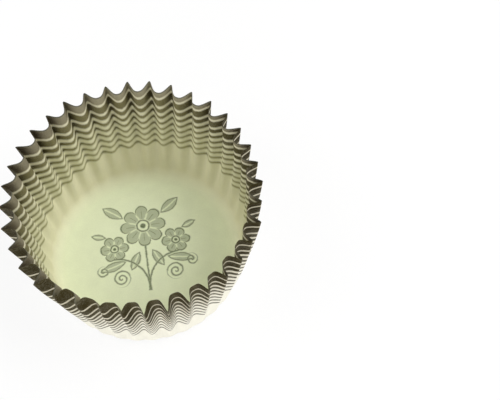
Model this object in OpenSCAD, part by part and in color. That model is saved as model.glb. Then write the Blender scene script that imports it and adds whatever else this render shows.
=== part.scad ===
// Paper baking cup: one round disc of greaseproof paper, pressed into a fluted cup.
// Millimetres, Z up. The origin is the middle of the base, on the surface it stands on.

/* [Cup] */
// Diameter of the paper disc that the cup is pressed from
disc_d = 113; // [96:1:140]
// Diameter of the base, out to where the wall would meet it without a fold
base_d = 50; // [36:1:66]
// Lean of the wall from upright, in degrees
wall_lean = 11; // [6:1:24]
// Radius of the fold between the base and the wall
fold_r = 3.2; // [1:0.1:5]

/* [Flutes] */
// Number of flutes round the wall
flutes = 36; // [24:1:48]
// Depth of the flutes, as a share of a straight zigzag's that holds the same paper
depth_share = 0.85; // [0.6:0.01:1]
// Share of a flute's depth that stands outside the plain wall
stand_out = 0.6; // [0.5:0.02:0.7]
// How pinched the outer creases are at the rim: 1 is a zigzag, and more leaves wider hollows
pinch = 3.4; // [1:0.1:4.5]

/* [Paper] */
// Thickness of the paper
paper_t = 0.06; // [0.05:0.01:0.3]

/* [Hidden] */

paper_colour = "#E9E6D8";

// Faces across half a flute, round the fold and up the wall
half_steps = 3;
fold_rows = 3;
wall_rows = 5;
// How much the wall's rows crowd towards the fold, where the flutes open fastest
row_crowding = 1.4;

// The disc's middle stays flat, and the rest of its radius goes round the fold and up the wall
fold_angle = 90 - wall_lean;
fold_len = fold_r * fold_angle * PI / 180;
flat_r = base_d / 2 - fold_r * tan(fold_angle / 2);
path_len = disc_d / 2 - flat_r;

rows = fold_rows + wall_rows;
flute_steps = 2 * half_steps;
columns = flute_steps * flutes;
sheet_points = (rows + 1) * columns;

function unit(v) = v / norm(v);

// Distance of a row from the edge of the flat base, measured along the paper
function row_path(row) =
    row <= fold_rows
    ? fold_len * row / fold_rows
    : fold_len + (path_len - fold_len) * pow((row - fold_rows) / wall_rows, row_crowding);

// The plain wall before fluting, as [radius, height] at a distance s along the paper
function plain_wall(s) =
    let (turned = min(s / fold_r * 180 / PI, fold_angle),
         run = max(s - fold_len, 0))
    [flat_r + fold_r * sin(turned) + run * sin(wall_lean),
     fold_r * (1 - cos(turned)) + run * cos(wall_lean)];

// Depth of the flutes at s. Paper doesn't shrink, so half a flute is as long as it was on the
// disc, which is more than its share of the plain wall, and the difference sets the depth. It is
// less than a straight zigzag's, because the curved section and fine creases take paper too.
function flute_depth(s) =
    let (paper_half = PI * (flat_r + s) / flutes,
         wall_half = PI * plain_wall(s)[0] / flutes)
    depth_share * sqrt(max(pow(paper_half, 2) - pow(wall_half, 2), 0));

// Section of a flute, from 0 in the middle of the hollow (u = 0) to 1 on the crease (u = 1).
// It is a soft wave at the base, and turns to pinched creases round wide hollows at the rim.
function flute_section(u, s) =
    let (soft = (1 - cos(180 * u)) / 2,
         pinched = pow(u, pinch),
         blend = s / path_len)
    soft + (pinched - soft) * blend;

// How far across its flute a column lies: 0 in the hollow, 1 on the crease
function across(column) = 1 - abs((column % flute_steps) / half_steps - 1);

// A point of the middle of the paper. The flutes push it off the plain wall, square to the wall,
// so every line up the paper keeps its length and the creases end a little lower at the rim.
function paper_point(row, column) =
    let (s = row_path(row),
         push = flute_depth(s) * (flute_section(across(column), s) + stand_out - 1),
         wall = plain_wall(s),
         r = wall[0] + push * cos(wall_lean),
         z = wall[1] - push * sin(wall_lean) + paper_t / 2,
         turn = 360 * column / columns)
    [r * cos(turn), r * sin(turn), z];

// The way from the middle of the paper to its outer face, for a thickness of 1: the mean of the
// faces left and right of the point, made longer on a crease so that both keep their thickness
function outward(grid, row, column) =
    row == 0 ? [0, 0, -1 / 2] :
    let (here = grid[row][column],
         left = grid[row][(column + columns - 1) % columns],
         right = grid[row][(column + 1) % columns],
         up = grid[min(row + 1, rows)][column] - grid[row - 1][column],
         face_left = unit(cross(here - left, up)),
         face_right = unit(cross(right - here, up)),
         mean = unit(face_left + face_right))
    mean / (mean * face_left) / 2;

// Number of a point on the outer face (side 0) or the inner face (side 1)
function at(side, row, column) = side * sheet_points + row * columns + column % columns;

// Two triangles between four points named clockwise as seen from outside. The cut changes hands
// in the middle of each flute, so that both halves of a flute are mirror images.
function quad(a, b, c, d, column) =
    column % flute_steps < half_steps ? [[a, b, c], [a, c, d]] : [[b, c, d], [b, d, a]];

// The whole sheet as one closed skin: both faces of the fold and the fluted wall, the cut edge at
// the rim, and both faces of the flat base, with a corner on each of the wall's columns
module liner() {
    grid = [for (row = [0 : rows]) [for (column = [0 : columns - 1]) paper_point(row, column)]];
    outer = [for (row = [0 : rows]) for (column = [0 : columns - 1])
        grid[row][column] + paper_t * outward(grid, row, column)];
    inner = [for (row = [0 : rows]) for (column = [0 : columns - 1])
        grid[row][column] - paper_t * outward(grid, row, column)];

    outer_wall = [for (row = [0 : rows - 1]) for (c = [0 : columns - 1])
        each quad(at(0, row, c), at(0, row + 1, c), at(0, row + 1, c + 1), at(0, row, c + 1), c)];
    inner_wall = [for (row = [0 : rows - 1]) for (c = [0 : columns - 1])
        each quad(at(1, row, c), at(1, row, c + 1), at(1, row + 1, c + 1), at(1, row + 1, c), c)];
    cut_edge = [for (c = [0 : columns - 1])
        each quad(at(0, rows, c), at(1, rows, c), at(1, rows, c + 1), at(0, rows, c + 1), c)];
    under_base = [for (c = [0 : columns - 1]) at(0, 0, c)];
    over_base = [for (c = [columns - 1 : -1 : 0]) at(1, 0, c)];

    color(paper_colour)
        polyhedron(concat(outer, inner),
                   concat(outer_wall, inner_wall, cut_edge, [under_base, over_base]));
}

liner();
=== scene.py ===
"""Paper baking cup: the pressed, fluted and ring-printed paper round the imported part.

Metres and Z up, in the frame of the CAD model. The paper is one closed sheet. The flat disc
that it is cut as is carried onto the base, the fold and the fluted wall, so every point keeps
its place on the disc, and the print is drawn on the disc before it is pressed.
"""
import logging
import math
from dataclasses import dataclass, field
from enum import Enum
from functools import reduce

import bpy
import numpy as np
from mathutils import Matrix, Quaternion, Vector


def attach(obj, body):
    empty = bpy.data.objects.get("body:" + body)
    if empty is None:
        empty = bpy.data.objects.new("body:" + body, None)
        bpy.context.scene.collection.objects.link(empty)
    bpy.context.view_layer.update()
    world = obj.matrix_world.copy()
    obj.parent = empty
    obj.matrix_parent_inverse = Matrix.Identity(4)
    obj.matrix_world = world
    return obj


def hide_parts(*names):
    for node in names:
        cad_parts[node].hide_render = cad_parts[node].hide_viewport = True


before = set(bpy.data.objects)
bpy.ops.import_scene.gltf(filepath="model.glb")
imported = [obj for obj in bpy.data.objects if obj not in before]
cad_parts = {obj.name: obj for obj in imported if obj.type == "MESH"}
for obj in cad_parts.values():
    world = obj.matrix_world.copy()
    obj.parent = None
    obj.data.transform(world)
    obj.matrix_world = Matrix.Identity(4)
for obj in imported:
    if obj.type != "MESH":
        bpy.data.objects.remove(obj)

# The scene is updated before anything is added to it
bpy.context.view_layer.update()

log = logging.getLogger("baking_cup")

MM = 0.001
# Millimetres that are added to a radius before a division by it
NOT_ZERO = 0.001
Colour = tuple[float, float, float]
Band = tuple[float, float]
# A noise's lumps to a unit of length, and the number of finer noises that it adds
Grain = tuple[float, float]


def linear(*channels: float) -> Colour:
    """Turns a screen colour into a light value.

    Each channel c, from 0 to 255, is divided by 255; above 0.04045 it becomes
    ((c + 0.055) / 1.055) to the power 2.4, and below that c / 12.92.

    Args:
        channels: Red, green and blue, 0 to 255.

    Returns:
        The three light values, 0 to 1.
    """
    shares = [channel / 255 for channel in channels]
    return tuple(((c + 0.055) / 1.055) ** 2.4 if c > 0.04045 else c / 12.92 for c in shares)


class Flow(Enum):
    """What a wire carries, with the node of its arithmetic. A shader counts as a colour."""

    NUMBER = "ShaderNodeMath"
    VECTOR = "ShaderNodeVectorMath"
    COLOUR = "ShaderNodeMix"


@dataclass(frozen=True)
class Wire:
    """An output socket of a node tree. Arithmetic on it adds the nodes that work it out."""

    graph: "Graph"
    socket: bpy.types.NodeSocket
    flow: Flow

    def _with(self, operation: str, first: "Operand", second: "Operand") -> "Wire":
        """Adds one node of arithmetic and returns its result."""
        return self.graph.work_out(operation, self.flow, first, second)

    def __add__(self, other: "Operand") -> "Wire":
        """self + other"""
        return self._with("ADD", self, other)

    def __radd__(self, other: "Operand") -> "Wire":
        """other + self"""
        return self._with("ADD", other, self)

    def __sub__(self, other: "Operand") -> "Wire":
        """self - other"""
        return self._with("SUBTRACT", self, other)

    def __rsub__(self, other: "Operand") -> "Wire":
        """other - self"""
        return self._with("SUBTRACT", other, self)

    def __mul__(self, other: "Operand") -> "Wire":
        """self * other"""
        return self._with("MULTIPLY", self, other)

    def __rmul__(self, other: "Operand") -> "Wire":
        """other * self"""
        return self._with("MULTIPLY", other, self)

    def __truediv__(self, other: "Operand") -> "Wire":
        """self / other"""
        return self._with("DIVIDE", self, other)

    def __abs__(self) -> "Wire":
        """The size of self without its sign"""
        return self.graph.work_out("ABSOLUTE", self.flow, self)


Operand = Wire | float | int | tuple[float, float, float]


class Graph:
    """The node tree of a material or of the world, written as expressions."""

    def __init__(self, owner: bpy.types.Material | bpy.types.World) -> None:
        """Turns on the owner's nodes and empties its tree.

        Args:
            owner: The material or the world.
        """
        owner.use_nodes = True
        self.tree = owner.node_tree
        self.tree.nodes.clear()

    def node(
        self, kind: str, settings: dict[str, object] | None = None,
        sockets: dict[str | int, object] | None = None,
    ) -> bpy.types.Node:
        """Adds any node.

        Args:
            kind: The node's type.
            settings: Its settings by name, which are set before its sockets.
            sockets: The values or wires of its inputs, by name or number.

        Returns:
            The node.
        """
        made = self.tree.nodes.new(kind)
        for name, value in (settings or {}).items():
            setattr(made, name, value)
        for name, value in (sockets or {}).items():
            if isinstance(value, Wire):
                self.tree.links.new(value.socket, made.inputs[name])
            else:
                made.inputs[name].default_value = value
        return made

    def wire(self, flow: Flow, *node: object, output: int | str = 0) -> Wire:
        """Adds a node, given as for node(), and takes the wire of one of its outputs."""
        return Wire(self, self.node(*node).outputs[output], flow)

    def work_out(self, operation: str, flow: Flow, *values: Operand, clamp: bool = False) -> Wire:
        """Adds a node of arithmetic.

        Args:
            operation: The node's operation.
            flow: Whether it works on numbers, vectors or colours.
            values: Its inputs in order.
            clamp: Whether a number is kept between 0 and 1.

        Returns:
            The result.
        """
        if flow is Flow.COLOUR:
            return self.mix(operation, 1.0, *values)
        settings = {"operation": operation}
        if flow is Flow.VECTOR:
            values = tuple((v,) * 3 if isinstance(v, (int, float)) else v for v in values)
        else:
            settings["use_clamp"] = clamp
        return self.wire(flow, flow.value, settings, dict(enumerate(values)))

    def mix(self, how: str, share: Operand, first: Operand, second: Operand) -> Wire:
        """Mixes two colours.

        Args:
            how: The blend type of the node.
            share: 0 for the first colour alone, and 1 for the second or for what both make.
            first: One colour, as a wire or three numbers.
            second: The other.

        Returns:
            The mixed colour.
        """
        colours = [value if isinstance(value, Wire) else (*value, 1.0) for value in (first, second)]
        return self.wire(Flow.COLOUR, Flow.COLOUR.value, {"data_type": "RGBA", "blend_type": how},
                         {0: share, 6: colours[0], 7: colours[1]}, output=2)

    def noise(self, place: Wire, grain: Grain) -> Wire:
        """Noise over a place, mostly from -0.25 to 0.25."""
        sockets = {"Vector": place, "Scale": grain[0], "Detail": grain[1], "Roughness": 0.55}
        return self.wire(Flow.NUMBER, "ShaderNodeTexNoise", None, sockets) - 0.5

    def attribute(self, name: str) -> Wire:
        """A number that the mesh carries at each point."""
        settings = {"attribute_name": name}
        return self.wire(Flow.NUMBER, "ShaderNodeAttribute", settings, output="Fac")

    def split(self, vector: Wire) -> tuple[Wire, Wire, Wire]:
        """The three parts of a vector."""
        made = self.node("ShaderNodeSeparateXYZ", None, {0: vector})
        return tuple(Wire(self, made.outputs[i], Flow.NUMBER) for i in range(3))

    def join(self, x: Operand, y: Operand, z: Operand) -> Wire:
        """A vector from three numbers."""
        return self.wire(Flow.VECTOR, "ShaderNodeCombineXYZ", None, {0: x, 1: y, 2: z})


def reckon(operation: str, first: Wire, second: Operand = 0.0) -> Wire:
    """One Math operation that has no sign of its own, such as SINE or ARCTAN2."""
    return first.graph.work_out(operation, Flow.NUMBER, first, second)


def lowest(*values: Wire) -> Wire:
    """The lowest of some numbers: what lies in all of several shapes."""
    return reduce(lambda so_far, value: reckon("MINIMUM", so_far, value), values)


def highest(*values: Wire) -> Wire:
    """The highest of some numbers: what lies in any of several shapes."""
    return reduce(lambda so_far, value: reckon("MAXIMUM", so_far, value), values)


def blend(share: Wire, first: Operand, second: Operand) -> Wire:
    """Mixes two colours: first where share is 0, second where it is 1."""
    return share.graph.mix("MIX", share, first, second)


def cover(depth: Wire, soft: Operand) -> Wire:
    """How far a shape covers a point: its depth inside the edge over soft, plus a half, clamped."""
    return depth.graph.work_out("ADD", Flow.NUMBER, depth / soft, 0.5, clamp=True)


def ranged(value: Wire, band: Band) -> Wire:
    """Turns a number into a share.

    Args:
        value: The number.
        band: The stretch over which the share grows.

    Returns:
        0 below the band, 1 above it, and smooth between.
    """
    low, high = band
    settings = {"interpolation_type": "SMOOTHSTEP"}
    return value.graph.wire(Flow.NUMBER, "ShaderNodeMapRange", settings,
                            {0: value, 1: low, 2: high, 3: 0.0, 4: 1.0})


@dataclass(frozen=True)
class DiscPlace:
    """A point's place on the flat disc, in millimetres from its middle, as wires."""

    x: Wire
    y: Wire

    def shifted(self, x: Operand, y: Operand) -> "DiscPlace":
        """The same place, measured from another point."""
        return DiscPlace(self.x - x, self.y - y)

    def turned(self, degrees: float) -> "DiscPlace":
        """The same place, measured along axes turned by some degrees."""
        c, s = math.cos(math.radians(degrees)), math.sin(math.radians(degrees))
        return DiscPlace(self.x * c + self.y * s, self.y * c - self.x * s)

    def shrunk(self, scale: float) -> "DiscPlace":
        """The same place in units of another length."""
        return DiscPlace(self.x / scale, self.y / scale)

    def mirrored(self) -> "DiscPlace":
        """The same place with its left half laid over its right half."""
        return DiscPlace(abs(self.x), self.y)

    def radius(self) -> Wire:
        """The distance from the middle: the root of x squared plus y squared."""
        return reckon("SQRT", self.x * self.x + self.y * self.y)

    def turn(self) -> Wire:
        """The angle round the middle, in radians."""
        return reckon("ARCTAN2", self.y, self.x)


@dataclass(frozen=True)
class RingPrint:
    """Rings printed round the rim, broad at the edge and finer inwards. Millimetres.

    The first light line lies at a set distance from the edge. The step to each next one is the
    fine step plus an extra that dies away, and the dark ring between two light lines fills a
    share of the step that dies away too. The whole print lies a little off the disc's middle.
    """

    rings: int = 9
    edge_band: float = 3.05
    first_light: float = 3.5
    fine_step: float = 2.07
    extra_step: float = 1.25
    step_fade: float = 1.5
    fine_share: float = 0.31
    extra_share: float = 0.45
    share_fade: float = 2.0
    shift: tuple[float, float] = (1.2, 0.8)

    def places(self) -> list[tuple[float, float]]:
        """Works out the rings.

        Returns:
            Each ring's middle, as a distance from the print's outer edge, and its width.
        """
        found = [(0.0, 2 * self.edge_band)]
        light = self.first_light
        for ring in range(1, self.rings):
            step = self.fine_step + self.extra_step * math.exp(-(ring - 1) / self.step_fade)
            share = self.fine_share + self.extra_share * math.exp(-(ring - 1) / self.share_fade)
            found.append((light + step / 2, step * share))
            light += step
        return found

    def draw(self, place: DiscPlace, disc_radius: float, wobble: Wire) -> tuple[Wire, Wire]:
        """Draws the rings.

        Depth inside a ring is half its width less the distance from its middle, and the rings
        are joined by taking the highest depth.

        Args:
            place: Place on the disc.
            disc_radius: The disc's radius.
            wobble: How far the ink strays from its line.

        Returns:
            The depth inside the rings, and the distance from the print's outer edge.
        """
        from_edge = disc_radius - place.shifted(*self.shift).radius() + wobble
        depths = [width / 2 - abs(from_edge - middle) for middle, width in self.places()]
        return highest(*depths), from_edge


@dataclass(frozen=True)
class SprigPrint:
    """The sprig of flowers printed on the base: blossoms, leaves, stems and curls. Millimetres.

    Each shape is a depth inside its edge. Lines are full ink, and fills are a tint. The line
    is the outlines' width, and the thin, vein and curl lines are half widths as shares of it.
    The parts of a blossom, from its seeds out to the veins' ends, are shares of its radius.
    """

    line: float = 0.42
    thin_line: float = 0.4
    vein_line: float = 0.34
    curl_line: float = 0.42
    tint: float = 0.52
    turned: float = 8.0
    middle: tuple[float, float] = (-0.7, 3.6)
    scale: float = 1.05
    seeds: float = 0.12
    eye: float = 0.27
    petals_from: float = 0.33
    veins_from: float = 0.36
    petals_part_at: float = 0.64
    veins_to: float = 0.74

    def blossom(self, place: DiscPlace, radius: float, petals: int) -> tuple[Wire, Wire]:
        """Draws a blossom seen from the front.

        A petal's lobe is the size of the cosine of half the petals times the angle. The edge
        lies at the radius times the share where the petals part, and the rest of the radius is
        times the root of the lobe. The distance from the gap between two petals is the distance
        from the middle times the lobe over half the petals.

        Args:
            place: Place on the disc, from the blossom's middle.
            radius: Length of the petals.
            petals: Number of petals.

        Returns:
            The depth inside its lines and inside its fill.
        """
        rho, swing = place.radius(), place.turn() * (petals / 2)
        lobe = abs(reckon("COSINE", swing))
        waist = self.petals_part_at
        body = radius * (waist + (1 - waist) * reckon("SQRT", lobe)) - rho
        gap = rho * lobe * (2 / petals)
        from_vein = rho * abs(reckon("SINE", swing)) * (2 / petals)
        ring = self.line / 2 - abs(rho - self.eye * radius)
        outline = self.line / 2 - abs(body - self.line / 2)
        vein = lowest(self.vein_line * self.line - from_vein, rho - self.veins_from * radius,
                      self.veins_to * radius - rho)
        seeds = self.seeds * radius - rho
        fill = lowest(body, gap - self.thin_line * self.line, rho - self.petals_from * radius)
        return highest(outline, ring, vein, seeds), fill

    def leaf(self, place: DiscPlace, length: float, width: float) -> tuple[Wire, Wire]:
        """Draws a leaf from the place's origin along its x axis.

        With t the share of its length, its half width is 2 times the width times t (1 - t).

        Args:
            place: Place on the disc, from the leaf's foot and along it.
            length: Length of the leaf.
            width: Width in its middle.

        Returns:
            The depth inside its lines and inside its fill.
        """
        share = place.x / length
        across = abs(place.y)
        half_line = self.thin_line * self.line
        body = 2 * width * share * (1 - share) - across
        outline = half_line - abs(body - half_line)
        return outline, lowest(body, across - half_line)

    def bow(self, place: DiscPlace, radius: float, above: float, inward: float) -> Wire:
        """Draws part of a circle round the place's origin, above one height and inward of one x."""
        from_line = abs(place.radius() - radius)
        return lowest(self.line / 2 - from_line, place.y - above, inward - place.x)

    def curl(self, place: DiscPlace, radius: float, step: float) -> Wire:
        """Draws a spiral whose arms lie a step apart.

        An arm lies where the radius over the step, less the share of a turn, is a half more
        than a whole number.

        Args:
            place: Place on the disc, from the spiral's middle.
            radius: The spiral's outer radius.
            step: Distance between its arms.

        Returns:
            The depth inside the line.
        """
        rho = place.radius()
        arm = reckon("FRACT", rho / step - place.turn() / math.tau)
        return lowest(self.curl_line * self.line - step * abs(arm - 0.5), radius - rho)

    def stem(self, place: DiscPlace, low: float, high: float) -> Wire:
        """Draws an upright stroke on the mirror line, from one height to another."""
        return lowest(self.line / 2 - place.x, place.y - low, high - place.y)

    def draw(self, place: DiscPlace, soft: Operand) -> Wire:
        """Draws the whole sprig.

        Args:
            place: Place on the disc.
            soft: Width of the edges' blur.

        Returns:
            The share of ink at each point.
        """
        here = place.shifted(*self.middle).turned(self.turned).shrunk(self.scale)
        both = here.mirrored()
        drawn = [
            self.blossom(here.shifted(0.0, 5.0), radius=5.9, petals=8),
            self.blossom(both.shifted(7.9, -0.4), radius=3.7, petals=6),
            self.leaf(both.shifted(4.9, 8.0).turned(38.0), length=6.4, width=2.8),
            self.leaf(both.shifted(1.6, -2.2).turned(-62.0), length=5.6, width=2.3),
            self.leaf(both.shifted(5.3, -4.6).turned(-14.0), length=7.0, width=2.5),
            self.leaf(both.shifted(9.8, 3.0).turned(20.0), length=4.0, width=1.8),
        ]
        strokes = [
            self.bow(both.shifted(8.5, -11.9), radius=8.4, above=-1.4, inward=0.2),
            self.curl(both.shifted(6.9, -9.0), radius=2.3, step=1.15),
            self.curl(both.shifted(11.3, -6.4), radius=1.5, step=1.0),
            self.stem(both, low=-10.6, high=-0.8),
        ]
        lines = highest(*[shape[0] for shape in drawn], *strokes)
        fills = highest(*[shape[1] for shape in drawn])
        return highest(cover(lines, soft), self.tint * cover(fills, soft))


@dataclass(frozen=True)
class SheetPoint:
    """What the finish knows of a point on the sheet, as wires. Lengths are millimetres.

    inside is 0 on the outer face and 1 on the inner one, and hollow is 0 on a crease and 1 in
    the middle between two creases. clouds, bleed and fibres are noises, from coarse to fine.
    """

    place: DiscPlace
    inside: Wire
    hollow: Wire
    clouds: Wire
    bleed: Wire
    fibres: Wire


@dataclass(frozen=True)
class Mottle:
    """How patchy something is: its share of each of the sheet's noises."""

    clouds: float = 0.0
    bleed: float = 0.0
    fibres: float = 0.0

    def at(self, point: SheetPoint) -> Wire:
        """Adds up the noises.

        Args:
            point: The point on the sheet.

        Returns:
            The sum of each share times its noise.
        """
        noises = ((self.clouds, point.clouds), (self.bleed, point.bleed),
                  (self.fibres, point.fibres))
        first, *others = [share * noise for share, noise in noises if share]
        return sum(others, first)


@dataclass(frozen=True)
class GreaseproofPaper:
    """The finish: matt greaseproof paper, printed on its outer face, which shows through.

    A band is a stretch over which one thing turns into another. The first five bands are
    distances from the print's outer edge, cut_band is one from the paper's own edge, wall_band
    one from the disc's middle, and sides_band and the band of painted shade towards the right
    ones from the cup's middle line, all in millimetres. The last four are shares of the way
    from a flute's crease to its hollow.
    """

    disc_diameter: float
    outer_paper: Colour = linear(242, 239, 226)
    # Painted shade: the outer paper is darker towards the rim than at the brighter foot, with a
    # faint tint of ink
    outer_rim_paper_shaded: Colour = linear(212, 205, 181)
    inner_paper: Colour = linear(234, 241, 207)
    # Painted shade: the inner wall's paper, near the rim and lower down, is duller and yellower
    # than the base's
    inner_wall_paper_shaded: Colour = linear(223, 220, 189)
    inner_rim_paper_shaded: Colour = linear(224, 218, 193)
    ink: Colour = linear(50, 43, 15)
    # Painted light: lighter ink towards each hollow's middle outside, with the flanks left darker
    # as painted shade; thin patches of ink add to it
    thin_and_lit_ink: Colour = linear(76, 68, 36)
    inner_rim_ink: Colour = linear(150, 143, 120)
    # Darker inner ink on the rim band at the cup's sides, less of it in the hollows
    inner_side_rim_ink: Colour = linear(86, 76, 60)
    inner_ink: Colour = linear(117, 111, 78)
    # Painted shade: the darkest inner ink, in the creases with the folded print's doubled
    # show-through, and on the wall towards the cup's right
    inner_ink_in_shade: Colour = linear(50, 42, 16)
    edge_ink: Colour = linear(58, 64, 54)
    inner_pale_ink: Colour = linear(140, 137, 90)
    base_ink: Colour = linear(124, 86, 46)
    inner_base_ink: Colour = linear(92, 103, 72)

    below_rim_band: Band = (2.2, 4.2)
    inner_paper_band: Band = (1.0, 15.0)
    paler_band: Band = (2.0, 19.0)
    pale_ink_band: Band = (6.0, 21.0)
    # Where the painted shade on the outer paper fades out, from the rim downwards
    outer_rim_shade_band: Band = (2.0, 22.0)
    cut_band: Band = (0.15, 0.6)
    wall_band: Band = (21.0, 27.0)
    sides_band: Band = (15.0, 45.0)
    # Painted shade: darker inner ink on the wall towards the cup's right
    right_shade_band: Band = (12.0, 42.0)
    # Painted shade in the creases inside: where it fades out towards the hollow
    crease_shade_band: Band = (0.02, 0.5)
    worn_band: Band = (0.0, 0.1)
    # Where the darker ink at the cup's sides gives way in the hollows
    side_hollow_band: Band = (0.1, 0.7)
    # Painted light: where the outer ink lightens towards a hollow's middle
    lit_hollow_band: Band = (0.3, 1.0)

    cloud_grain: Grain = (0.22, 4.0)
    bleed_grain: Grain = (1.1, 2.0)
    fibre_grain: Grain = (2.6, 3.0)
    pleat_grain: Grain = (1.0, 3.0)

    ring_wobble: Mottle = Mottle(clouds=0.5, bleed=0.35)
    ring_mottle: Mottle = Mottle(clouds=0.3, fibres=0.4)
    ring_cover: float = 0.97
    ring_blur: float = 0.14
    inner_ring_blur: float = 0.34
    low_ring_blur: float = 0.3
    ink_spread: float = 0.11
    low_spread_loss: float = 0.7
    worn_loss: float = 0.15
    low_ring_loss: float = 0.12
    sprig_wobble: tuple[Mottle, Mottle] = (Mottle(bleed=-0.5), Mottle(clouds=-0.9))
    sprig_mottle: Mottle = Mottle(fibres=0.5)
    sprig_cover: float = 0.9
    sprig_blur: float = 0.16
    inner_sprig_blur: float = 0.2

    # Painted light: how much the outer ink lightens in the hollows, with patches of thin ink
    thin_and_lit_share: float = 0.55
    thin_mottle: Mottle = Mottle(bleed=0.9)
    side_hollow_loss: float = 0.6
    # Painted shade: how dark the inner wall's ink gets towards the cup's right
    right_shade_share: float = 0.7
    # Painted shade in the creases inside, with the doubled show-through: its share at the rim,
    # below it and its loss lower down
    crease_shade_share: float = 0.3
    crease_shade_below_rim: float = 0.65
    low_crease_shade_loss: float = 0.45
    cut_share: float = 0.8

    tone_mottle: Mottle = Mottle(clouds=0.16, fibres=0.12)
    relief_mottle: Mottle = Mottle(clouds=0.5, fibres=0.35)
    relief: float = 0.08
    relief_strength: float = 0.5
    pleats: float = 1.5
    pleat_circle: float = 46.0
    pleat_growth: float = 0.12
    roughness: float = 0.8
    ink_roughness: float = 0.7
    roughness_mottle: Mottle = Mottle(fibres=0.2)
    gloss: float = 0.06
    rings: RingPrint = field(default_factory=RingPrint)
    sprig: SprigPrint = field(default_factory=SprigPrint)

    def read_sheet(self, g: Graph) -> SheetPoint:
        """Reads the sheet's UV map, which is the flat disc, and its numbers, and adds noises.

        Args:
            g: The finish's graph.

        Returns:
            The point that is being shaded.
        """
        uv = g.wire(Flow.VECTOR, "ShaderNodeUVMap", {"uv_map": "disc"})
        across, along, _ = g.split((uv - 0.5) * (self.disc_diameter / MM))
        flat = g.join(across, along, 0.0)
        return SheetPoint(
            DiscPlace(across, along), g.attribute("inside"), g.attribute("hollow"),
            clouds=g.noise(flat, self.cloud_grain), bleed=g.noise(flat, self.bleed_grain),
            fibres=g.noise(flat, self.fibre_grain))

    def outer_ink_tone(self, point: SheetPoint) -> Wire:
        """The rings' ink outside: thinner in patches, and lighter in each hollow's middle as
        painted light.
        """
        # Painted light towards each hollow's middle, in patches of thin ink
        thin_and_lit = self.thin_and_lit_share + self.thin_mottle.at(point)
        return blend(ranged(point.hollow, self.lit_hollow_band) * thin_and_lit, self.ink, self.thin_and_lit_ink)

    def inner_ink_tone(self, point: SheetPoint, from_edge: Wire, paler: Wire) -> Wire:
        """The rings' ink as it shows through inside.

        It is palest in the band along the rim and darker below it, and turns pale again
        towards the base. On the rim band it is darker at the cup's sides, mostly on the creases,
        and it is darker along the cut edge. In the creases it is darker still, as painted shade
        together with the doubled show-through of the folded print, and below the rim band it is
        darker towards the cup's right as painted shade.

        Args:
            point: The point on the sheet.
            from_edge: Distance from the print's outer edge.
            paler: How far down the wall the point lies, 0 to 1.

        Returns:
            The ink's colour.
        """
        x = point.place.x
        below_rim = ranged(from_edge, self.below_rim_band)
        # Darker ink on the rim band at the cup's sides, less of it in the hollows
        in_hollow = ranged(point.hollow, self.side_hollow_band)
        at_sides = ranged(abs(x), self.sides_band) * (1.0 - self.side_hollow_loss * in_hollow)
        at_rim = blend(at_sides, self.inner_rim_ink, self.inner_side_rim_ink)
        # Painted shade: darker ink on the wall towards the cup's right
        on_wall = blend(ranged(x, self.right_shade_band) * self.right_shade_share, self.inner_ink,
                        self.inner_ink_in_shade)
        tone = blend(below_rim, at_rim, on_wall)
        tone = blend(ranged(from_edge, self.pale_ink_band), tone, self.inner_pale_ink)
        # Painted shade in the creases, with the folded print's doubled show-through
        crease_shade_level = (self.crease_shade_share + self.crease_shade_below_rim * below_rim
                    - self.low_crease_shade_loss * paler)
        crease_shade = (1 - ranged(point.hollow, self.crease_shade_band)) * crease_shade_level
        tone = blend(crease_shade, tone, self.inner_ink_in_shade)
        from_cut = self.disc_diameter / MM / 2 - point.place.radius()
        at_cut = (1 - ranged(from_cut, self.cut_band)) * self.cut_share
        return blend(at_cut, tone, self.edge_ink)

    def paper_tone(self, point: SheetPoint, from_edge: Wire, on_wall: Wire) -> Wire:
        """The bare paper: darker along the rim outside and duller on the wall inside, both painted
        shade, and greenest on the base inside. A faint tint of ink adds to the shade outside.

        Args:
            point: The point on the sheet.
            from_edge: Distance from the print's outer edge.
            on_wall: 0 on the base and 1 on the wall.

        Returns:
            The paper's colour.
        """
        # Painted shade: the wall inside is duller than the base
        inner_wall_shaded = blend(ranged(from_edge, self.inner_paper_band), self.inner_rim_paper_shaded,
                           self.inner_wall_paper_shaded)
        inner = blend(on_wall, self.inner_paper, inner_wall_shaded)
        # Painted shade: the outer paper darkens towards the rim, with a faint tint of ink
        outer = blend(ranged(from_edge, self.outer_rim_shade_band), self.outer_rim_paper_shaded,
                      self.outer_paper)
        return blend(point.inside, outer, inner)

    def bumps(self, g: Graph, point: SheetPoint, on_wall: Wire) -> Wire:
        """The relief of fibres and clouds, and of fine pleats that run up the wall.

        The pleats are noise that is read on a circle, whose radius is a number of its lumps, and
        that changes slowly along the disc's radius.

        Args:
            g: The finish's graph.
            point: The point on the sheet.
            on_wall: 0 on the base and 1 on the wall.

        Returns:
            The bumped normal.
        """
        radius = point.place.radius() + NOT_ZERO
        on_circle = g.join(point.place.x / radius * self.pleat_circle,
                           point.place.y / radius * self.pleat_circle,
                           radius * self.pleat_growth)
        pleats = self.pleats * g.noise(on_circle, self.pleat_grain) * on_wall
        return g.wire(Flow.VECTOR, "ShaderNodeBump", None, {
            "Strength": self.relief_strength, "Distance": self.relief * MM,
            "Height": self.relief_mottle.at(point) + pleats})

    def build(self) -> bpy.types.Material:
        """Makes the material: paper, the sprig over it, and the rings over both.

        The rings' edges are softer inside, where the ink shows through, and the ink spreads a
        little outside. Fibres and clouds make it patchy, and it wears off on the outer creases.

        Returns:
            The material, which reads the sheet's UV map and its numbers at each point.
        """
        material = bpy.data.materials.new("greaseproof_paper")
        g = Graph(material)
        point = self.read_sheet(g)
        inside, outside = point.inside, 1 - point.inside

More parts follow.
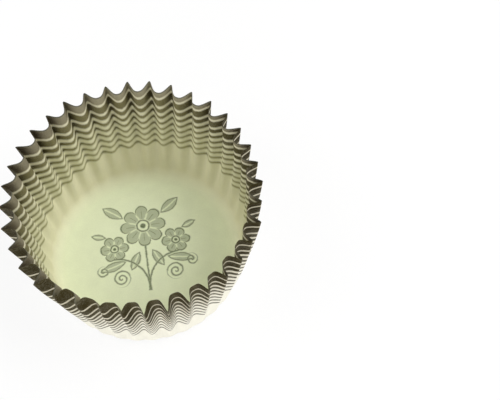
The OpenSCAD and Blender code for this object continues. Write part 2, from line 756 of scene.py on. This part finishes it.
        depth, from_edge = self.rings.draw(point.place, self.disc_diameter / MM / 2,
                                           self.ring_wobble.at(point))
        paler = ranged(from_edge, self.paler_band)
        spread = outside * (1 - self.low_spread_loss * paler) * self.ink_spread
        blur = self.ring_blur + inside * (self.inner_ring_blur + self.low_ring_blur * paler)
        ring_ink = cover(depth + spread, blur)
        worn = (1 - ranged(point.hollow, self.worn_band)) * outside
        ring_share = ring_ink * (self.ring_cover + self.ring_mottle.at(point))
        ring_share = ring_share * (1 - self.worn_loss * worn)
        ring_share = ring_share * (1 - self.low_ring_loss * paler * outside)

        strays = [mottle.at(point) for mottle in self.sprig_wobble]
        sprig_ink = self.sprig.draw(point.place.shifted(*strays),
                                    self.sprig_blur + self.inner_sprig_blur * inside)
        sprig_share = sprig_ink * (self.sprig_cover + self.sprig_mottle.at(point))

        on_wall = ranged(point.place.radius(), self.wall_band)
        paper = self.paper_tone(point, from_edge, on_wall)
        base_ink = blend(inside, self.base_ink, self.inner_base_ink)
        ink = blend(inside, self.outer_ink_tone(point),
                    self.inner_ink_tone(point, from_edge, paler))
        printed = blend(ring_share, blend(sprig_share, paper, base_ink), ink)
        tone = 1.0 + self.tone_mottle.at(point)

        shine = (self.roughness + (self.ink_roughness - self.roughness) * ring_ink
                 + self.roughness_mottle.at(point))
        surface = g.wire(Flow.COLOUR, "ShaderNodeBsdfPrincipled", None, {
            "Base Color": printed * g.join(tone, tone, tone), "Roughness": shine,
            "Specular IOR Level": self.gloss, "Normal": self.bumps(g, point, on_wall)})
        g.node("ShaderNodeOutputMaterial", None, {"Surface": surface})
        return material


@dataclass(frozen=True)
class Swell:
    """A slow wave round the cup: how many times it rises, its size and the angle that turns it."""

    times: int
    size: float
    turn: float

    def at(self, angle: np.ndarray) -> np.ndarray:
        """The size times the cosine of times the angle, less the turn."""
        return self.size * np.cos(self.times * angle - self.turn)


@dataclass(frozen=True)
class Stretch:
    """A stretch round the cup where something is full in the middle and dies away beside it."""

    size: float
    turn: float
    width: float

    def at(self, angle: np.ndarray) -> np.ndarray:
        """The size times e to the power of less the squared angle from the middle over width."""
        from_middle = (angle - self.turn + math.pi) % math.tau - math.pi
        return self.size * np.exp(-(from_middle / self.width) ** 2)


@dataclass
class PressedCup:
    """The fluted cup: one round disc of paper, pressed in over a flat base. Metres.

    The first sizes are the CAD model's, and then come the numbers of faces and how they crowd.
    The rest say how far the paper strays from the even cup: how its creases bunch, give way and
    are pinched, how its flutes lean and calm down, and how its rim and base lie.
    """

    disc_diameter: float = 113 * MM
    base_diameter: float = 50 * MM
    wall_lean: float = math.radians(11)
    fold_radius: float = 3.2 * MM
    flutes: int = 36
    depth_share: float = 0.85
    stand_out: float = 0.6
    pinch: float = 3.4
    thickness: float = 0.06 * MM

    columns_per_flute: int = 18
    column_crowding: float = 1.5
    fold_rows: int = 10
    wall_rows: int = 50
    row_crowding: float = 1.15
    base_rings: int = 7
    ring_crowding: float = 0.8
    innermost_ring: float = 0.03

    pinch_sway: Swell = Swell(1, 0.9, math.radians(-90))
    crease_round: float = 0.15
    crease_shift: float = math.radians(-0.25)
    crease_bunching: tuple[Swell, ...] = (
        Swell(1, math.radians(0.6), math.radians(180)),
        Swell(2, math.radians(0.7), math.radians(172)))
    crease_dent: Stretch = Stretch(2.0 * MM, math.radians(256), math.radians(13))
    crease_stray: float = 0.3 * MM
    crease_twist: float = math.radians(0.6)
    hollow_stray: float = 0.25 * MM
    turned_in: float = 1 / 3

    lean: float = 1.5
    lean_depth: float = 0.3
    lean_rise: float = 1.8
    lean_place: Stretch = Stretch(1.0, math.radians(243), math.radians(30))
    calm_share: float = 0.5
    calm_height: float = 9.0 * MM

    rim_stray: float = 0.35 * MM
    oval: Swell = Swell(2, 0.37 * MM, math.radians(-46))
    press: Stretch = Stretch(2.3 * MM, math.radians(3.4), math.radians(60))
    rim_aside: tuple[float, float] = (0.9 * MM, 1.7 * MM)
    base_crown: float = 0.25 * MM
    crown_level: float = 0.65
    crown_waves: tuple[Swell, ...] = (Swell(2, 0.2, -0.7), Swell(3, 0.15, -2.1))
    seed: int = 36

    def __post_init__(self) -> None:
        """Works out the lengths along the paper, of flat base, fold and wall, and the columns."""
        self.fold_angle = math.pi / 2 - self.wall_lean
        self.fold_length = self.fold_radius * self.fold_angle
        self.flat_radius = (self.base_diameter / 2
                            - self.fold_radius * math.tan(self.fold_angle / 2))
        self.path_length = self.disc_diameter / 2 - self.flat_radius
        self.pitch = math.tau / self.flutes
        self.crease, self.share = self.across_flutes()

    def wall_profile(self, s: np.ndarray) -> tuple[np.ndarray, np.ndarray]:
        """The plain wall before it is fluted.

        Args:
            s: Distance along the paper from the edge of the flat base.

        Returns:
            Radius and height: an arc of the fold's radius, and then a straight lean.
        """
        turned = np.minimum(s / self.fold_radius, self.fold_angle)
        run = np.maximum(s - self.fold_length, 0)
        radius = (self.flat_radius + self.fold_radius * np.sin(turned)
                  + run * math.sin(self.wall_lean))
        height = self.fold_radius * (1 - np.cos(turned)) + run * math.cos(self.wall_lean)
        return radius, height

    def flute_depth(self, s: np.ndarray) -> np.ndarray:
        """The flutes' depth, a share of the root of paper squared less wall squared.

        Paper is the length of half a flute on the flat disc, and wall its length on the wall.

        Args:
            s: Distance along the paper from the edge of the flat base.

        Returns:
            The depth.
        """
        paper = math.pi * (self.flat_radius + s) / self.flutes
        wall = math.pi * self.wall_profile(s)[0] / self.flutes
        return self.depth_share * np.sqrt(np.maximum(paper ** 2 - wall ** 2, 0))

    def across_flutes(self) -> tuple[np.ndarray, np.ndarray]:
        """Spreads the columns over the flutes, closer together near the creases.

        Returns:
            For each column, the crease it follows and the share of the way to the next crease.
        """
        crease = np.repeat(np.arange(self.flutes), self.columns_per_flute)
        step = np.linspace(-1, 1, self.columns_per_flute, endpoint=False)
        crowded = 1 - (1 - np.abs(step)) ** self.column_crowding
        return crease, np.tile(0.5 + 0.5 * np.sign(step) * crowded, self.flutes)

    def even_angles(self) -> np.ndarray:
        """The angle of each column on the even cup, with the creases half a flute off X."""
        return (self.crease + 0.5 + self.share) * self.pitch

    def along_paper(self) -> np.ndarray:
        """Spreads the rows round the fold and up the wall.

        Returns:
            Each row's distance along the paper from the edge of the flat base, as a column.
        """
        fold = np.linspace(0, self.fold_length, self.fold_rows + 1)[:-1]
        wall = np.linspace(0, 1, self.wall_rows + 1) ** self.row_crowding
        up_wall = self.fold_length + (self.path_length - self.fold_length) * wall
        return np.concatenate([fold, up_wall])[:, None]

    def between_creases(self, values: np.ndarray) -> np.ndarray:
        """Passes smoothly from each crease's value to the next one's, over the columns."""
        ease = self.share * self.share * (3 - 2 * self.share)
        return np.roll(values, -1)[self.crease] * ease + values[self.crease] * (1 - ease)

    def flute_section(self, up: np.ndarray, leaning: np.ndarray) -> np.ndarray:
        """Section of the flutes, from 0 in the hollow to 1 on the crease.

        Where the flutes lean, the share of the way between two creases is raised to a power.
        It becomes u, 1 on the crease and 0 in the hollow, rounded on the crease by a root of
        squares. The section is a soft wave of u at the base, and turns to u to the power of the
        pinch at the rim. The pinch sways round the cup.

        Args:
            up: Each row's share of the way up the paper.
            leaning: How far the flutes lean, 0 to 1.

        Returns:
            The section by row and column.
        """
        leant = 1 - np.abs(2 * self.share ** (1 + self.lean * leaning) - 1)
        least = self.crease_round
        rounded = ((np.sqrt(leant ** 2 + least ** 2) - least)
                   / (math.sqrt(1 + least ** 2) - least))
        u = 1 - rounded
        soft = (1 - np.cos(math.pi * u)) / 2
        pinch = self.pinch + self.pinch_sway.at((self.crease + 1) * self.pitch)
        return soft + (u ** pinch - soft) * up

    def fluted_wall(self) -> tuple[np.ndarray, np.ndarray]:
        """The middle of the paper round the fold and up the wall.

        Each crease is turned off its even place, over a first share of the way up, and twisted
        less and less towards the rim. The push off the plain wall is the depth times the
        section plus the share that stands out, less 1. It is deeper where the flutes lean and
        calmer near the fold, and each crease and hollow adds its own stray. Then the cup gets
        oval and is pressed in by the square of the share of the way up, and it moves aside by 1
        less the square of the share that is left.

        Returns:
            The points by row and column, and the distance along the paper of each row.
        """
        s = self.along_paper()
        up = s / self.path_length

        chance = np.random.default_rng(self.seed)
        around = (np.arange(self.flutes) + 0.5) * self.pitch
        turn = self.crease_shift + sum(swell.at(around) for swell in self.crease_bunching)
        twist, rise, reach, hollow = [chance.uniform(-1, 1, self.flutes) * size for size in (
            self.crease_twist, self.rim_stray, self.crease_stray, self.hollow_stray)]
        reach = reach - self.crease_dent.at(around)

        strayed = self.between_creases(turn) + self.between_creases(twist) * (1 - up)
        angle = self.even_angles() + strayed * np.minimum(up / self.turned_in, 1)

        leaning = self.lean_place.at(angle) * np.sin(math.pi * up ** self.lean_rise)
        section = self.flute_section(up, leaning)
        push = self.flute_depth(s) * (section + self.stand_out - 1)
        push = push * (1 + self.lean_depth * leaning)
        push = push * (1 - self.calm_share * np.exp(-(s / self.calm_height) ** 2))
        push = push + self.between_creases(reach) * section * up ** 2
        push = push + hollow[self.crease] * (1 - section) * np.sin(math.pi * self.share) * up

        radius, height = self.wall_profile(s)
        pressed = self.oval.at(angle) - self.press.at(angle)
        radius = radius + push * math.cos(self.wall_lean) + pressed * up ** 2
        lift = self.between_creases(rise) * up ** 2
        height = height - push * math.sin(self.wall_lean) + lift + self.thickness / 2
        aside = 1 - (1 - up) ** 2
        points = np.stack([radius * np.cos(angle) + self.rim_aside[0] * aside,
                           radius * np.sin(angle) + self.rim_aside[1] * aside, height], axis=-1)
        return points, s[:, 0]

    def base_rows(self, edge: np.ndarray) -> tuple[np.ndarray, np.ndarray]:
        """The flat base, as rings that shrink from the fold's edge to a small one.

        It is crowned by the square of 1 less the radius squared, times a level with two slow
        waves round it.

        Args:
            edge: The fold's first row of points.

        Returns:
            The points by ring and column, innermost first, and each ring's radius.
        """
        steps = np.linspace(self.innermost_ring, 1, self.base_rings + 1)[:-1]
        shares = steps ** self.ring_crowding
        points = edge[None] * shares[:, None, None]
        turn = np.arctan2(edge[:, 1], edge[:, 0])[None]
        wave = self.crown_level + sum(swell.at(turn) for swell in self.crown_waves)
        crown = self.base_crown * (1 - shares[:, None] ** 2) ** 2 * wave
        points[..., 2] = edge[None, :, 2] + crown
        return points, shares * self.flat_radius

    def both_faces(self, middle: np.ndarray, flat_rows: int) -> np.ndarray:
        """The points of the outer face and the inner face, each with its point in the middle.

        Each face lies half the thickness off the middle of the paper, along the cross product
        of the way round and the way up. On the flat rows it lies straight below or above.

        Args:
            middle: The middle of the paper, by row and column.
            flat_rows: How many rows belong to the flat base.

        Returns:
            All the points: the outer face, the inner face, and their two middle points.
        """
        up = np.gradient(middle, axis=0)
        round_cup = (np.roll(middle, -1, axis=1) - np.roll(middle, 1, axis=1)) / 2
        normal = np.cross(round_cup, up)
        normal /= np.linalg.norm(normal, axis=-1, keepdims=True)
        offset = normal * (self.thickness / 2)
        offset[:flat_rows] = (0, 0, -self.thickness / 2)
        pole = middle[0].mean(axis=0)
        half = np.array([0, 0, self.thickness / 2])
        return np.concatenate([(middle + offset).reshape(-1, 3),
                               (middle - offset).reshape(-1, 3), [pole - half, pole + half]])

    def disc_map(self, disc_radius: np.ndarray) -> np.ndarray:
        """Each point's place on the flat disc, 0 to 1 across it.

        Args:
            disc_radius: Each row's distance from the disc's middle.

        Returns:
            The places, in the order of the points.
        """
        angle = self.even_angles()
        face = np.stack([disc_radius[:, None] * np.cos(angle),
                         disc_radius[:, None] * np.sin(angle)], axis=-1).reshape(-1, 2)
        return np.concatenate([face, face, np.zeros((2, 2))]) / self.disc_diameter + 0.5

    @staticmethod
    def faces(rows: int, columns: int) -> list[list[int]]:
        """Joins the points into faces.

        Args:
            rows: Rows of points on each side of the paper.
            columns: Points in a row.

        Returns:
            The point numbers of each face: the outer and the inner side, the cut edge at the
            rim, and the middle of the base below and above.
        """
        side = rows * columns
        index = np.arange(side).reshape(rows, columns)
        after = np.roll(index, -1, axis=1)
        low, low_after, high, high_after = index[:-1], after[:-1], index[1:], after[1:]
        outer = np.stack([low, low_after, high_after, high], axis=-1).reshape(-1, 4)
        inner = np.stack([low, high, high_after, low_after], axis=-1).reshape(-1, 4) + side
        rim, rim_after = index[-1], after[-1]
        cut = np.stack([rim, rim_after, rim_after + side, rim + side], axis=-1)
        first, first_after = index[0], after[0]
        under = np.stack([first_after, first, np.full(columns, 2 * side)], axis=-1)
        over = np.stack([first + side, first_after + side, np.full(columns, 2 * side + 1)],
                        axis=-1)
        return [*outer.tolist(), *inner.tolist(), *cut.tolist(), *under.tolist(), *over.tolist()]

    def build(self) -> bpy.types.Object:
        """Makes the cup's paper as one closed sheet with its cut edge.

        Returns:
            The object, at the origin, with its UV map and numbers.
        """
        wall, s = self.fluted_wall()
        base, base_radius = self.base_rows(wall[0])
        middle = np.concatenate([base, wall])
        rows, columns = middle.shape[:2]
        points = self.both_faces(middle, len(base))
        uv = self.disc_map(np.concatenate([base_radius, self.flat_radius + s]))
        inside = np.repeat([0.0, 1.0], rows * columns)
        hollow = np.tile(1 - np.abs(2 * self.share - 1), 2 * rows)

        mesh = bpy.data.meshes.new("fluted_paper")
        faces = self.faces(rows, columns)
        mesh.from_pydata(points, [], faces)
        mesh.polygons.foreach_set("use_smooth", np.ones(len(faces), dtype=bool))
        corner = np.empty(len(mesh.loops), dtype=np.int32)
        mesh.loops.foreach_get("vertex_index", corner)
        mesh.uv_layers.new(name="disc").data.foreach_set("uv", uv[corner].ravel())
        for name, values, in_middle in (("inside", inside, [0.0, 1.0]),
                                        ("hollow", hollow, [1.0, 1.0])):
            numbers = mesh.attributes.new(name, "FLOAT", "POINT").data
            numbers.foreach_set("value", np.concatenate([values, in_middle]))
        mesh.validate()
        mesh.update()
        log.info("fluted paper: %d points, %d faces", len(points), len(faces))
        return add_object("fluted_paper", mesh)

    def dress(self, paper: bpy.types.Object) -> None:
        """Gives the paper its finish and its place in the frame.

        Args:
            paper: The sheet that build() makes.
        """
        paper.data.materials.append(GreaseproofPaper(self.disc_diameter).build())
        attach(paper, "root")
        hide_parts("liner")


@dataclass(frozen=True)
class SoftLamp:
    """A square soft lamp that points at the cup. Metres, degrees and watts.

    Its azimuth is its direction from the cup, from X towards Y, and its elevation the
    direction above the table.
    """

    name: str
    azimuth: float
    elevation: float
    distance: float
    size: float
    watts: float

    def build(self) -> None:
        """Adds the lamp to the scene."""
        a, e = math.radians(self.azimuth), math.radians(self.elevation)
        back = Vector((math.cos(a) * math.cos(e), math.sin(a) * math.cos(e), math.sin(e)))
        data = bpy.data.lights.new(self.name, "AREA")
        data.size = self.size
        data.energy = self.watts
        lamp = add_object(self.name, data)
        lamp.location = back * self.distance
        lamp.rotation_mode = "QUATERNION"
        lamp.rotation_quaternion = back.to_track_quat("Z", "Y")


@dataclass
class PaleTable:
    """A pale, matt table top that keeps the cup's soft shadow, with its light. Metres."""

    size: float = 3.0
    colour: Colour = (0.9, 0.9, 0.89)
    shown_white: float = 0.85
    sky: float = 0.49
    lamps: tuple[SoftLamp, ...] = (
        SoftLamp("key_lamp", azimuth=4, elevation=52, distance=1.2, size=0.7, watts=8.6),
        SoftLamp("top_lamp", azimuth=190, elevation=48, distance=1.5, size=0.9, watts=6.0),
        SoftLamp("front_lamp", azimuth=-98, elevation=12, distance=1.2, size=0.8, watts=5.2))

    def build(self) -> None:
        """Makes the table top, the even light all round and the soft lamps."""
        corner = self.size / 2
        mesh = bpy.data.meshes.new("table_top")
        mesh.from_pydata([(-corner, -corner, 0), (corner, -corner, 0), (corner, corner, 0),
                          (-corner, corner, 0)], [], [(0, 1, 2, 3)])
        mesh.materials.append(self.finish())
        table = add_object("table_top", mesh)
        self.light_all_round()
        for lamp in self.lamps:
            lamp.build()
        log.info("table and light")

    def finish(self) -> bpy.types.Material:
        """The table's matt white, most of it shown as plain white where it is seen.

        Returns:
            The material.
        """
        material = bpy.data.materials.new("table_white")
        g = Graph(material)
        matt = g.wire(Flow.COLOUR, "ShaderNodeBsdfDiffuse", None, {"Color": (*self.colour, 1.0)})
        white = g.wire(Flow.COLOUR, "ShaderNodeEmission", None, {"Strength": 1.0})
        surface = g.wire(Flow.COLOUR, "ShaderNodeMixShader", None,
                         {0: seen_directly(g) * self.shown_white, 1: matt, 2: white})
        g.node("ShaderNodeOutputMaterial", None, {"Surface": surface})
        return material

    def light_all_round(self) -> None:
        """Even light from the world, which is plain white where it is seen."""
        world = bpy.data.worlds.new("soft_light")
        bpy.context.scene.world = world
        g = Graph(world)
        glow = g.wire(Flow.COLOUR, "ShaderNodeBackground", None, {
            "Color": (1.0, 1.0, 1.0, 1.0),
            "Strength": self.sky + (1 - self.sky) * seen_directly(g)})
        g.node("ShaderNodeOutputWorld", None, {"Surface": glow})


def seen_directly(g: Graph) -> Wire:
    """Tells a surface that is seen from one that only lights others.

    Args:
        g: The graph of the surface or the world.

    Returns:
        1 where the camera, a gloss or a clear thing sees it, and 0 elsewhere.
    """
    path = g.node("ShaderNodeLightPath")
    names = ("Is Camera Ray", "Is Glossy Ray", "Is Transmission Ray")
    return highest(*[Wire(g, path.outputs[name], Flow.NUMBER) for name in names])


@dataclass
class ViewFromAbove:
    """The camera. Metres and degrees, and millimetres for the lens and its sensor."""

    place: tuple[float, float, float] = (0.03662, -0.12947, 0.267)
    aim: tuple[float, float, float] = (0.0278, 0.01571, 0.0)
    roll: float = -5.1
    lens: float = 79.93
    sensor: float = 36.0
    nearest: float = 0.01
    farthest: float = 20.0

    def build(self) -> None:
        """Makes the camera and gives it to the scene."""
        data = bpy.data.cameras.new("view_from_above")
        data.lens = self.lens
        data.sensor_width = self.sensor
        data.clip_start = self.nearest
        data.clip_end = self.farthest
        camera = add_object("view_from_above", data)
        camera.location = self.place
        level = (Vector(self.aim) - Vector(self.place)).to_track_quat("-Z", "Y")
        camera.rotation_mode = "QUATERNION"
        camera.rotation_quaternion = level @ Quaternion((0, 0, 1), math.radians(self.roll))
        bpy.context.scene.camera = camera
        log.info("camera: lens %.1f mm", self.lens)


def add_object(name: str, data: bpy.types.ID) -> bpy.types.Object:
    """Adds an object to the scene.

    Args:
        name: The object's name.
        data: Its mesh, light or camera.

    Returns:
        The object.
    """
    made = bpy.data.objects.new(name, data)
    bpy.context.collection.objects.link(made)
    return made


def main() -> None:
    """Builds the cup, the table with its light and the camera."""
    logging.basicConfig(level=logging.INFO)
    bpy.context.scene.view_settings.view_transform = "Standard"
    cup = PressedCup()
    cup.dress(cup.build())
    PaleTable().build()
    ViewFromAbove().build()
    bpy.context.view_layer.update()


if __name__ == "__main__":
    main()
